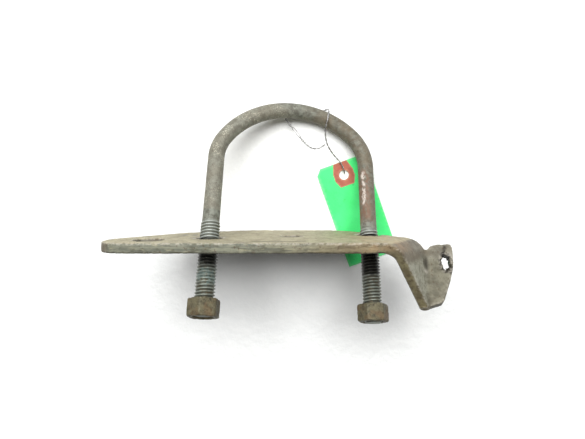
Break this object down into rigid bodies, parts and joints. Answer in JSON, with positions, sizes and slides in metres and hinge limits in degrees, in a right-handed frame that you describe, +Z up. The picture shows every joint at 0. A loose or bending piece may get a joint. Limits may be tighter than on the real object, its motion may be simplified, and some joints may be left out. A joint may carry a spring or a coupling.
{
  "type": "u-bolt and spring plate set",
  "caption": "Used round-bend U-bolt standing in its spring plate, with nuts on its threaded legs and a wired card tag.",
  "frame": {"origin": "on the floor, under the middle of the plate, bolt and nuts' box", "axes": "+X along the plate towards its bent ear; +Y out of the plate's face towards the bolt's bend; +Z up"},
  "size_m": [0.1934, 0.136, 0.0812],
  "materials": {
    "plate_steel": "worn bare steel, oily and dirty, with rust at the bend",
    "bolt_steel": "grey-brown surface rust, threads brighter",
    "nut_steel": "brown, worn, rounded corners",
    "tag_card": "bright green, matte",
    "tag_patch": "red-brown fibre, matte",
    "tag_wire": "bright thin wire"
  },
  "bodies": {
    "plate_body": {"spring_plate": "plate_steel"},
    "bolt_body": {"u_bolt": "bolt_steel", "tag_wire": "tag_wire"},
    "nut_left_body": {"nut_left": "nut_steel"},
    "nut_right_body": {"nut_right": "nut_steel"},
    "tag_body": {"tag_card": "tag_card", "tag_patch_front": "tag_patch", "tag_patch_back": "tag_patch"}
  },
  "joints": [
    {"name": "bolt_rock", "type": "hinge", "parent": "plate_body", "child": "bolt_body", "pos_m": [0.00438, -0.01938, 0.04425], "axis": [0.9782, 0, -0.2075], "range_deg": [0, 46]},
    {"name": "nut_left_travel", "type": "slide", "parent": "bolt_body", "child": "nut_left_body", "axis": [0.013, 0.9113, -0.4114], "range_m": [0, 0.023]},
    {"name": "nut_right_travel", "type": "slide", "parent": "bolt_body", "child": "nut_right_body", "axis": [0.013, 0.9113, -0.4114], "range_m": [0, 0.03]},
    {"name": "tag_swivel", "type": "hinge", "parent": "bolt_body", "child": "tag_body", "pos_m": [0.03963, 0.02115, 0.0009], "axis": [0, 0, 1], "range_deg": [0, 20]}
  ]
}
